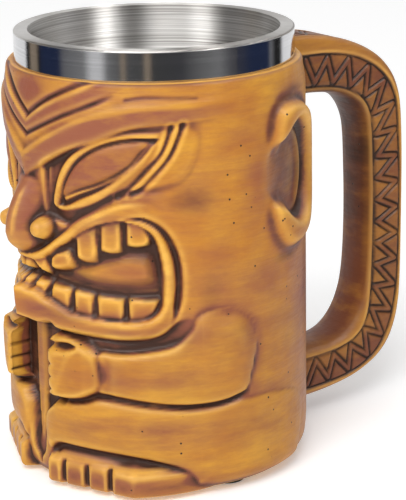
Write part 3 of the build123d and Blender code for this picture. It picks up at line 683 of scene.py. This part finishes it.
def body_mesh():
    """The carved wall, closed by the liner's seat and the flat underside."""
    r, shapes = carve()
    colour = [both_sides(layer) for layer in paint(r, shapes)]
    r, angle, height = set_back(r, shapes["lip"])
    x = np.sin(np.radians(angle)) * r
    x = np.where(ON_FIST_WALL, to_level(x, SIDE_X, HAND_ROWS), x)
    y = -np.sqrt(np.clip(r ** 2 - x ** 2, 0, None)) * np.where(angle > 90, -1, 1)
    x = np.hstack([-x[:, :0:-1], x[:, :-1]])
    y, z = both_sides(y), both_sides(height)
    rows, cols = x.shape
    points = np.stack([x, y, z], -1).reshape(-1, 3)
    paints = np.stack(colour, -1).reshape(-1, 3)
    a = np.arange(rows - 1)[:, None] * cols + np.arange(cols)[None]
    b = np.arange(rows - 1)[:, None] * cols + (np.arange(cols)[None] + 1) % cols
    faces = np.stack([a, b, b + cols, a + cols], -1).reshape(-1, 4)
    ring_x, ring_y = np.stack([x[-1], y[-1]]) / np.hypot(x[-1], y[-1])
    loops = [(RIM_R, RESIN_TOP), (RIM_R, BAND_LOW), (SEAT_R, NECK_LOW), (SEAT_R, SLEEVE_LOW),
             (CAP_R, SLEEVE_LOW)]
    extra = [np.stack([ring_x * q, ring_y * q, np.full(cols, h)], -1) for q, h in loops]
    under = np.stack([ring_x * CAP_R, ring_y * CAP_R, np.full(cols, RESIN_LOW)], -1)
    first = len(points)
    points = np.vstack([points, *extra, under])
    paints = np.vstack([paints, np.zeros((cols * (len(loops) + 1), 3))])
    chain = [(rows - 1) * cols] + [first + k * cols for k in range(len(loops))]
    column = np.arange(cols)
    following = (column + 1) % cols
    strips = [np.stack([p + column, p + following, q + following, q + column], -1)
              for p, q in zip(chain, chain[1:])]
    low = first + len(loops) * cols
    strips.append(np.stack([column, low + column, low + following, following], -1))
    faces = np.vstack([faces, *strips])
    caps = [list(chain[-1] + column), list((low + column)[::-1])]
    return make_mesh("body_casting_carved", points, faces, caps, paints)


def make_mesh(name, points, faces, caps, paints):
    """A smooth-shaded mesh object in metres, with the paint in a colour attribute."""
    mesh = bpy.data.meshes.new(name)
    mesh.from_pydata((points * MM).tolist(), [], faces.tolist() + caps)
    mesh.validate()
    layer = mesh.color_attributes.new("paint", "FLOAT_COLOR", "POINT")
    layer.data.foreach_set("color", np.hstack([paints, np.ones((len(paints), 1))]).ravel())
    mesh.polygons.foreach_set("use_smooth", [True] * len(mesh.polygons))
    return add_object(name, mesh)


def add_object(name, data):
    thing = bpy.data.objects.new(name, data)
    bpy.context.scene.collection.objects.link(thing)
    return thing


# ---------------------------------------------------------------- the handle

HANDLE_HALF = (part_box("handle")[1][0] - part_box("handle")[0][0]) / 2 / MM
OUTER = smooth_line([
    (44, 137.7), (51, 137.7), (60, 137.2), (70, 135.3), (80, 131.8), (88, 127.3), (93.6, 121.8),
    (96.9, 116), (98.7, 109), (99.5, 98), (99.8, 86), (99.7, 62.7), (99.3, 44), (98.4, 34.5), (96.4, 27),
    (93.2, 21), (88.4, 16.4), (82, 13), (75, 10.7), (65, 9), (55, 8.2), (44, 8)])
INNER = smooth_line([
    (44, 116.6), (56, 116.6), (64, 116.3), (71, 115.2), (76.6, 112.6), (80.6, 108.6), (83.2, 103),
    (84.2, 97), (84.6, 86), (84.8, 72), (84.5, 58), (83.6, 47), (81.8, 39.6), (78.4, 33.2), (73.4, 28.6),
    (67, 26.4), (60, 25.8), (44, 25.7)])
PANEL_OUT = smooth_line([
    (44, 130.8), (55.4, 130.6), (65, 130.2), (73.3, 128.9), (80, 126.8), (86.7, 123.2), (91.7, 118.6),
    (94.8, 113.5), (96.4, 108), (97.3, 97), (97.9, 84), (98, 71), (97.8, 58.5), (97.3, 46), (96.2, 37.5),
    (94.2, 29.4), (91.2, 23.4), (87.4, 18.9), (82.5, 15.6), (75.5, 13.1), (67.8, 11.9), (60.8, 11.3),
    (55.6, 11), (44, 10.6)])
PANEL_IN = smooth_line([
    (44, 119.6), (55.4, 119.5), (65, 118.9), (71.7, 117.7), (77.5, 115.4), (82.3, 111.8), (85, 106.6),
    (86.2, 99.3), (86.8, 87.7), (87.1, 75.2), (86.9, 62.7), (86.5, 52), (85.7, 42.5), (84, 34),
    (81.3, 28.6), (77, 25.2), (71, 23.2), (64, 22.3), (55.8, 21.9), (44, 21.7)])
PERIODS = 18              # of the zigzag, from root to root
BACK_PERIODS = 14.76      # of the one along the back of the grip
GRIP_ROWS = 640
INNER_ROUND, OUTER_ROUND = 5.0, 2.2    # the radii of the grip's edges
CUT_WIDTH = 0.42
BACK_BORDER = 6.9


def fractions(line):
    """How far along a line each of its points is, from 0 to 1."""
    lengths = np.concatenate([[0], np.cumsum(np.hypot(*(line[1:] - line[:-1]).T))])
    return lengths / lengths[-1]


def at_fraction(line, t):
    f = fractions(line)
    return np.stack([np.interp(t, f, line[:, k]) for k in (0, 1)], -1)


def from_root(line, start_y=54.6):
    """The stretch of a line that shows, from the cup's wall and back to it."""
    return line[line[:, 0] >= start_y]


def zigzag():
    """Tips of the zigzag by turns against the panel's inner and outer border."""
    out, inn = from_root(PANEL_OUT), from_root(PANEL_IN)
    t = np.linspace(0.004, 0.996, 2 * PERIODS + 1)
    o, i = at_fraction(out, t), at_fraction(inn, t)
    gap = (o - i) / np.hypot(*(o - i).T)[:, None]
    o, i = o - gap * 1.5, i + gap * 1.5
    return np.array([i[k] if k % 2 else o[k] for k in range(len(t))]), out


def grip_section():
    """Round the grip: depth from its inner face (0) to its outer (1), place across it, and the face."""
    side = np.concatenate([np.linspace(0, 0.28, 9)[:-1], np.linspace(0.28, 0.93, 30)[:-1],
                           np.linspace(0.93, 1, 6)])
    back = np.linspace(1, -1, 25)[1:-1]
    front = np.linspace(-1, 1, 15)[1:-1]
    depth = np.concatenate([side, np.ones(len(back)), side[::-1], np.zeros(len(front))])
    across = np.concatenate([np.ones(len(side)), back, -np.ones(len(side)), front])
    face = np.repeat(["side", "back", "side", "front"], [len(side), len(back), len(side), len(front)])
    return depth, across, face


def rounding(radius, from_edge):
    """How far a round edge has drawn back at a distance from it."""
    return radius * (1 - np.sqrt(1 - np.clip(1 - from_edge / radius, 0, 1) ** 2))


def handle_mesh():
    """A grid swept from the upper root to the lower one, with the carving cut into its faces."""
    t = np.linspace(0, 1, GRIP_ROWS)
    outer, inner = at_fraction(OUTER, t), at_fraction(INNER, t)
    thick = np.hypot(*(outer - inner).T)[:, None]
    outward = (outer - inner) / thick
    depth, across, face = grip_section()
    on_side, on_back, on_front = (np.broadcast_to(face == name, (GRIP_ROWS, len(face)))
                                  for name in ("side", "back", "front"))

    deep = depth * thick
    half_side = HANDLE_HALF - rounding(INNER_ROUND, deep) - rounding(OUTER_ROUND, thick - deep)
    half_face = (HANDLE_HALF - 0.98 * np.where(on_front, INNER_ROUND, OUTER_ROUND)) * np.abs(across)
    x = np.where(on_side, half_side, half_face) * np.sign(across)
    deep = deep - 0.5 * on_front * (1 - across ** 2)
    y, z = (inner[:, k, None] + outward[:, k, None] * deep for k in (0, 1))

    line, border = zigzag()
    border_gap = np.minimum(distance(y, z, PANEL_OUT, reach=4.0), distance(y, z, PANEL_IN, reach=4.0))
    zigzag_gap = distance(y, z, line, reach=4.0)
    in_panel = inside(y, z, np.vstack([PANEL_OUT, PANEL_IN[::-1]])) & on_side
    strip = (zigzag_gap < 0.8) & in_panel
    beyond = inside(y, z, np.vstack([line, border[::-1]])) & in_panel & ~strip
    cut = np.maximum(bell(border_gap / CUT_WIDTH),
                     bell((zigzag_gap - 1.15) / CUT_WIDTH) * in_panel) * on_side
    back_line = (2 * np.abs(((t * 2 * BACK_PERIODS) % 2) - 1) - 1)[:, None] * 5.2
    back_gap = np.abs(x - back_line) * 0.72
    back_cut = np.maximum(bell((back_gap - 1.1) / 0.5) * (np.abs(x) < BACK_BORDER - 0.3),
                          np.exp(-((np.abs(x) - BACK_BORDER) / 0.45) ** 2)) * on_back
    back_panel = (np.abs(x) < BACK_BORDER) & on_back

    # A paler line beside the panel's border: partly wear, partly painted highlight.
    wear_and_highlight = 0.6 * bell((border_gap - 1.0) / 0.6) * on_side * ~in_panel
    wash_and_shade = np.where(strip, 0.78, np.where(beyond, 0.62, np.where(in_panel, 0.36, 0.1)))
    near_inner = np.clip(1 - depth * 15.5 / 4.2, 0, 1)
    x = x - np.sign(x) * (0.75 * cut + 0.25 * in_panel)
    y, z = (p - outward[:, k, None] * 0.6 * back_cut for k, p in enumerate((y, z)))
    # Red-brown painted shade on the grip's inner face.
    wash_and_shade = np.maximum(wash_and_shade, near_inner * 0.85 + 0.1 * on_front)
    wash_and_shade = np.maximum(wash_and_shade, 0.75 * back_panel)
    # Painted shade, partly dark wash, in the cuts; painted shade on the inner face, more towards the top, and
    # over the panels, most near the root.
    dark = np.clip(np.maximum(cut, back_cut), 0, 1)
    dark = np.maximum(dark, near_inner ** 1.3 * (0.45 * ease((z - 34) / 60) + 0.2))
    dark = dark + in_panel * (0.22 + 0.25 * ease((57 - y) / 4)) + 0.3 * back_panel

    points = np.stack([x, y, z], -1).reshape(-1, 3)
    paints = np.clip(np.stack([dark, wear_and_highlight, wash_and_shade], -1), 0, 1).reshape(-1, 3)
    column = np.arange(len(face))
    start = np.arange(GRIP_ROWS - 1)[:, None] * len(face)
    a, b = start + column, start + (column + 1) % len(face)
    faces = np.stack([a, a + len(face), b + len(face), b], -1).reshape(-1, 4)
    caps = [list(column), list((GRIP_ROWS - 1) * len(face) + column[::-1])]
    return make_mesh("handle_carved", points, faces, caps, paints)


# ---------------------------------------------------------------- materials

def srgb(red, green, blue):
    """A colour given as 0 to 255 in sRGB, in Blender's linear values."""
    linear = [(v / 255 / 12.92) if v / 255 <= 0.04045 else ((v / 255 + 0.055) / 1.055) ** 2.4
              for v in (red, green, blue)]
    return (*linear, 1)


class Nodes:
    """A short way to write a node material."""

    def __init__(self, name):
        self.material = bpy.data.materials.new(name)
        self.material.use_nodes = True
        self.tree = self.material.node_tree
        self.shader = self.tree.nodes["Principled BSDF"]

    def add(self, kind, inputs=None, **settings):
        node = self.tree.nodes.new(kind)
        for key, value in settings.items():
            setattr(node, key, value)
        for key, value in (inputs or {}).items():
            self.put(node.inputs[key], value)
        return node

    def put(self, socket, value):
        if isinstance(value, bpy.types.NodeSocket):
            self.tree.links.new(value, socket)
        else:
            socket.default_value = value

    def shade(self, name, value):
        """Gives one of the shader's own inputs a value, or a node's output."""
        self.put(self.shader.inputs[name], value)

    def maths(self, operation, a, b=0.0, clamp=False):
        node = self.add("ShaderNodeMath", operation=operation, use_clamp=clamp)
        self.put(node.inputs[0], a)
        self.put(node.inputs[1], b)
        return node.outputs[0]

    def mix(self, factor, a, b, blend="MIX"):
        node = self.add("ShaderNodeMix", data_type="RGBA", blend_type=blend)
        self.put(node.inputs["Factor"], factor)
        self.put(node.inputs["A"], a)
        self.put(node.inputs["B"], b)
        return node.outputs["Result"]

    def ramp(self, value, stops):
        node = self.add("ShaderNodeValToRGB", {"Fac": value})
        for k, (place, level) in enumerate(stops):
            stop = node.color_ramp.elements[k] if k < 2 else node.color_ramp.elements.new(place)
            stop.position = place
            stop.color = level if isinstance(level, tuple) else (level, level, level, 1)
        return node.outputs["Color"]

    def noise(self, scale, detail=4.0, stretch=(1, 1, 1), rough=0.55):
        place = self.add("ShaderNodeTexCoord").outputs["Object"]
        mapped = self.add("ShaderNodeMapping", {"Vector": place, "Scale": stretch}).outputs[0]
        return self.add("ShaderNodeTexNoise", {"Vector": mapped, "Scale": scale, "Detail": detail,
                                               "Roughness": rough}).outputs["Fac"]

    def bumps(self, height, strength, depth):
        node = self.add("ShaderNodeBump", {"Height": height, "Strength": strength, "Distance": depth})
        self.shade("Normal", node.outputs[0])


def painted_resin(name, tone):
    """Yellow-orange base coat, a red-brown wash that also carries painted shade, painted shade in the cuts
    and lighter edges that are partly wear, partly painted highlight.
    """
    ochre, amber, streak_brown, shade_and_wash_red, wear_and_highlight_gold, shade_and_wash_black = tone
    n = Nodes(name)
    paint_layer = n.add("ShaderNodeVertexColor", layer_name="paint").outputs["Color"]
    layers = n.add("ShaderNodeSeparateColor", {"Color": paint_layer}).outputs
    dark, light, wash_and_shade = layers["Red"], layers["Green"], layers["Blue"]

    clouds = n.noise(38, 5)
    streaks = n.noise(48, 6, stretch=(0.7, 0.7, 2.6), rough=0.62)
    grain = n.noise(240, 4, stretch=(0.3, 0.3, 4.0))
    fibres = n.ramp(n.noise(150, 5, stretch=(0.6, 0.6, 4.0), rough=0.7), [(0.4, 0.0), (0.68, 1.0)])
    mottle = n.ramp(n.noise(26, 7, stretch=(0.5, 0.5, 1.5), rough=0.6), [(0.46, 0.0), (0.7, 1.0)])
    patch = n.noise(75, 7, stretch=(0.6, 0.6, 1.6), rough=0.65)
    patch = n.maths("MULTIPLY", n.maths("SUBTRACT", patch, 0.5), 2.5)

    def uneven(layer, amount, level):
        """A paint layer brushed on in patches."""
        factor = n.maths("ADD", n.maths("MULTIPLY", patch, amount), level)
        return n.maths("MULTIPLY", layer, factor, clamp=True)

    base = n.mix(n.ramp(clouds, [(0.34, 0.0), (0.66, 1.0)]), ochre, amber)
    base = n.mix(n.maths("MULTIPLY", n.ramp(streaks, [(0.44, 0.0), (0.7, 1.0)]), 0.6), base, streak_brown)
    base = n.mix(n.maths("MULTIPLY", fibres, 0.3), base, shade_and_wash_red)
    washed = n.maths("MULTIPLY", wash_and_shade, n.maths("ADD", patch, 1.0))
    base = n.mix(n.maths("ADD", washed, n.maths("MULTIPLY", mottle, 0.55), clamp=True), base, shade_and_wash_red)
    # Paler edges, partly wear and partly painted highlight; then painted shade in the cuts, partly dark wash.
    base = n.mix(uneven(light, 0.9, 0.8), base, wear_and_highlight_gold)
    base = n.mix(n.ramp(uneven(dark, 0.7, 1.0), [(0.08, 0.0), (0.92, 0.96)]), base, shade_and_wash_black)

    place = n.add("ShaderNodeTexCoord").outputs["Object"]
    cells = n.add("ShaderNodeTexVoronoi", {"Vector": place, "Scale": 260.0}).outputs
    spots = n.ramp(cells["Distance"], [(0.07, 1.0), (0.11, 0.0)])
    lot = n.add("ShaderNodeSeparateColor", {"Color": cells["Color"]}).outputs["Red"]
    pits = n.mix(1.0, spots, n.ramp(lot, [(0.72, 0.0), (0.74, 1.0)]), "MULTIPLY")
    n.shade("Base Color", n.mix(pits, base, srgb(45, 30, 20)))
    n.shade("Roughness", n.ramp(n.mix(0.5, clouds, grain), [(0.3, 0.36), (0.7, 0.52)]))
    n.shade("Specular IOR Level", 0.24)

    relief = n.maths("ADD", n.maths("MULTIPLY", grain, 0.5), n.maths("MULTIPLY", streaks, 0.8))
    relief = n.maths("ADD", relief, n.maths("MULTIPLY", n.noise(110, 3), 1.4))
    n.bumps(n.maths("SUBTRACT", relief, pits), 0.5, 0.0007)
    return n.material


def steel(name, low, high, anisotropy, streak_scale, greys):
    """Stainless steel with the fine lines of a finish that was spun round the cup."""
    n = Nodes(name)
    lines = n.noise(streak_scale, 6, stretch=(0.04, 0.04, 9.0), rough=0.7)
    n.shade("Base Color", n.mix(n.ramp(lines, [(0.35, 0.0), (0.65, 1.0)]), *greys))
    n.shade("Metallic", 1.0)
    n.shade("Roughness", n.ramp(lines, [(0.3, low), (0.7, high)]))
    n.shade("Anisotropic", anisotropy)
    n.shade("Anisotropic Rotation", 0.25)
    tangent = n.add("ShaderNodeTangent", direction_type="RADIAL", axis="Z")
    n.shade("Tangent", tangent.outputs[0])
    n.bumps(lines, 0.12, 0.0002)
    return n.material


def rubber():
    """Black rubber with a fine matt grain."""
    n = Nodes("pad_rubber")
    speck = n.noise(900, 4)
    n.shade("Base Color", n.mix(speck, srgb(18, 18, 19), srgb(38, 37, 36)))
    n.shade("Roughness", n.ramp(speck, [(0.3, 0.7), (0.7, 0.9)]))
    n.bumps(speck, 0.3, 0.0002)
    return n.material


def glowing(name, strength=1.0, layer=None):
    """A material that only gives light, white or coloured by a colour attribute."""
    material = bpy.data.materials.new(name)
    material.use_nodes = True
    tree = material.node_tree
    tree.nodes.clear()
    glow = tree.nodes.new("ShaderNodeEmission")
    glow.inputs["Strength"].default_value = strength
    if layer:
        colour = tree.nodes.new("ShaderNodeVertexColor")
        colour.layer_name = layer
        tree.links.new(colour.outputs["Color"], glow.inputs["Color"])
    tree.links.new(glow.outputs[0], tree.nodes.new("ShaderNodeOutputMaterial").inputs["Surface"])
    return material


def give(piece, material):
    piece.data.materials.clear()
    piece.data.materials.append(material)


# Two base coats, the brown streaks, the red-brown wash and painted shade, the paler edges (wear and painted
# highlight) and the painted shade in the cuts.
BODY_TONES = [srgb(186, 120, 36), srgb(210, 152, 48), srgb(166, 96, 40),
              srgb(142, 80, 58), srgb(236, 180, 78), srgb(54, 33, 24)]
HANDLE_TONES = [srgb(172, 114, 40), srgb(192, 136, 50), srgb(150, 90, 40),
                srgb(126, 72, 46), srgb(222, 168, 84), srgb(42, 27, 20)]

body = body_mesh()
give(body, painted_resin("painted_resin", BODY_TONES))
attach(body, "root")
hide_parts("body_casting")

grip = handle_mesh()
give(grip, painted_resin("painted_resin_handle", HANDLE_TONES))
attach(grip, "root")
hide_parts("handle")

STEEL_GREYS = (srgb(150, 145, 140), srgb(238, 236, 233))
POLISHED_GREYS = (srgb(196, 196, 198), srgb(214, 214, 216))
brushed = steel("brushed_steel", 0.34, 0.48, 1.0, 170, STEEL_GREYS)
give(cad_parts["inner_cup"], brushed)
give(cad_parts["sleeve_base"], brushed)
give(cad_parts["outer_sleeve"], steel("polished_steel", 0.06, 0.13, 0.3, 90, POLISHED_GREYS))
pad_material = rubber()
for name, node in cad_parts.items():
    if name.startswith("foot_pad"):
        give(node, pad_material)


# ---------------------------------------------------------------- floor, lights and camera

CAMERA_BEARING = 56.0


def at_bearing(bearing, far, height):
    """A place in metres at a bearing: 0 in front of the face, 90 to the figure's left."""
    a = math.radians(bearing)
    return Vector((far * math.sin(a), -far * math.cos(a), height))


def seen_only_by(piece, *rays):
    """Sets which rays meet a stage piece: the others pass through it."""
    for ray in ("camera", "diffuse", "glossy", "shadow", "transmission", "volume_scatter"):
        setattr(piece, f"visible_{ray}", ray in rays)


def plain_floor():
    mesh = bpy.data.meshes.new("floor")
    far = 30.0
    mesh.from_pydata([(-far, -far, 0), (far, -far, 0), (far, far, 0), (-far, far, 0)], [], [(0, 1, 2, 3)])
    floor = add_object("floor", mesh)
    n = Nodes("floor_paper")
    n.shade("Base Color", n.mix(n.noise(3, 2), srgb(249, 249, 249), srgb(252, 252, 252)))
    n.shade("Roughness", 0.9)
    n.shade("Emission Color", (1, 1, 1, 1))
    n.shade("Emission Strength", 0.22)
    give(floor, n.material)


PALE, DARK, NAVY, BRONZE = (0.95, 0.95, 0.95), (0.02, 0.02, 0.02), (0.02, 0.03, 0.07), (0.30, 0.24, 0.18)
TENT_BARS = [    # degrees from the camera's bearing, and the cloth's colour there
    (-180, PALE), (-124, PALE), (-121, DARK), (-117, DARK), (-114, BRONZE), (-106, BRONZE), (-103, DARK),
    (-98, NAVY), (-80, NAVY), (-74, (0.16, 0.16, 0.17)), (-56, (0.24, 0.24, 0.24)), (-49, (0.7, 0.7, 0.7)),
    (-42, (0.7, 0.7, 0.7)), (-36, (0.2, 0.2, 0.2)), (-27, (0.13, 0.13, 0.13)), (-25, BRONZE), (-23, BRONZE),
    (-21, (0.1, 0.1, 0.1)), (-9, (0.08, 0.08, 0.08)), (-7, BRONZE), (-4, BRONZE), (-2, (0.06, 0.06, 0.06)),
    (20, (0.06, 0.06, 0.065)), (36, (0.16, 0.16, 0.16)), (50, (0.22, 0.22, 0.22)), (64, (0.06, 0.06, 0.07)),
    (80, NAVY), (100, NAVY), (104, (0.2, 0.2, 0.21)), (110, DARK), (118, DARK), (124, PALE), (180, PALE)]


def studio_tent():
    """A tent of pale cloth with dark gaps, which only reflections see: it gives the steel its bars."""
    count, radius, low, high = 360, 0.42, 0.001, 0.4
    bearings = np.arange(count) * 360 / count
    ring = [tuple(at_bearing(b, radius, h)) for h in (low, high) for b in bearings]
    quads = [(k, (k + 1) % count, (k + 1) % count + count, k + count) for k in range(count)]
    mesh = bpy.data.meshes.new("studio_tent")
    mesh.from_pydata(ring, [], quads)
    from_camera = (bearings - CAMERA_BEARING + 180) % 360 - 180
    places, colours = zip(*TENT_BARS)
    shades = np.stack([np.interp(from_camera, places, c) for c in zip(*colours)] + [np.ones(count)], -1)
    bars = mesh.color_attributes.new("bars", "FLOAT_COLOR", "POINT")
    bars.data.foreach_set("color", np.tile(shades, (2, 1)).ravel())
    tent = add_object("studio_tent", mesh)
    give(tent, glowing("tent_cloth", layer="bars"))
    seen_only_by(tent, "glossy")


def steel_card(name, bearing, height, far, width, tall, glow):
    """A bright card above the cup that only reflections see, for the bars of light in the steel."""
    bpy.ops.mesh.primitive_plane_add(size=1)
    card = bpy.context.object
    card.name = card.data.name = name
    card.location = at_bearing(bearing, far, height)
    card.scale = (width, tall, 1)
    card.rotation_euler = (Vector((0, 0, 0.14)) - card.location).to_track_quat("Z", "Y").to_euler()
    give(card, glowing(name, glow))
    seen_only_by(card, "glossy")


def soft_light(name, bearing, height, far, width, tall, watts):
    """A softbox aimed at the mug."""
    data = bpy.data.lights.new(name, "AREA")
    data.shape, data.size, data.size_y = "RECTANGLE", width, tall
    data.energy = watts
    lamp = add_object(name, data)
    lamp.location = at_bearing(bearing, far, height)
    lamp.rotation_euler = (Vector((0, 0, 0.07)) - lamp.location).to_track_quat("-Z", "Y").to_euler()


def soft_sun(name, bearing, height, strength, spread):
    """An even light from a bearing and a height in degrees, as wide as a big window."""
    data = bpy.data.lights.new(name, "SUN")
    data.energy, data.angle = strength, math.radians(spread)
    h = math.radians(height)
    toward = -at_bearing(bearing, math.cos(h), math.sin(h))
    add_object(name, data).rotation_euler = toward.to_track_quat("-Z", "Y").to_euler()


def white_backdrop():
    """A far white shell that only the camera sees, so that the floor runs out into white."""
    bpy.ops.mesh.primitive_uv_sphere_add(radius=9, segments=64, ring_count=32)
    shell = bpy.context.object
    shell.name = shell.data.name = "white_backdrop"
    give(shell, glowing("backdrop_white"))
    seen_only_by(shell, "camera")


def white_world():
    """Half-bright and white all round, to fill the shadows."""
    world = bpy.data.worlds.new("studio")
    bpy.context.scene.world = world
    world.use_nodes = True
    background = world.node_tree.nodes["Background"].inputs
    background["Color"].default_value = (1, 1, 1, 1)
    background["Strength"].default_value = 0.5


def add_camera():
    """Seen from the figure's front left and a little above, from 0.71 m off the cup's axis."""
    bearing = math.radians(CAMERA_BEARING)
    tilt, roll, pan = math.radians(15.77), math.radians(-1.215), math.radians(-1.159)
    right = Vector((math.cos(bearing), math.sin(bearing), 0))
    ahead = Vector((-math.sin(bearing) * math.cos(tilt), math.cos(bearing) * math.cos(tilt), -math.sin(tilt)))
    turned = Matrix((right, right.cross(ahead), -ahead)).transposed()
    turned = turned @ Matrix.Rotation(roll, 3, "Z") @ Matrix.Rotation(pan, 3, "Y")
    data = bpy.data.cameras.new("camera")
    data.lens, data.sensor_width = 158.13, 36.0
    data.clip_start, data.clip_end = 0.05, 60
    camera = add_object("camera", data)
    camera.matrix_world = Matrix.Translation(at_bearing(CAMERA_BEARING, 0.7108, 0.2707)) @ turned.to_4x4()
    bpy.context.scene.camera = camera


plain_floor()
studio_tent()
white_backdrop()
white_world()
steel_card("right_card", 111, 0.62, 0.5, 0.15, 0.4, 19)
steel_card("front_card", 1, 0.6, 0.5, 0.22, 0.4, 12)
steel_card("back_card", 168, 0.5, 0.5, 0.08, 0.4, 8)
soft_light("front_softbox", 40, 0.75, 0.9, 0.7, 0.5, 6)
soft_sun("soft_sun", 45, 52, 0.9, 35)
bpy.context.scene.view_settings.view_transform = "Standard"
add_camera()
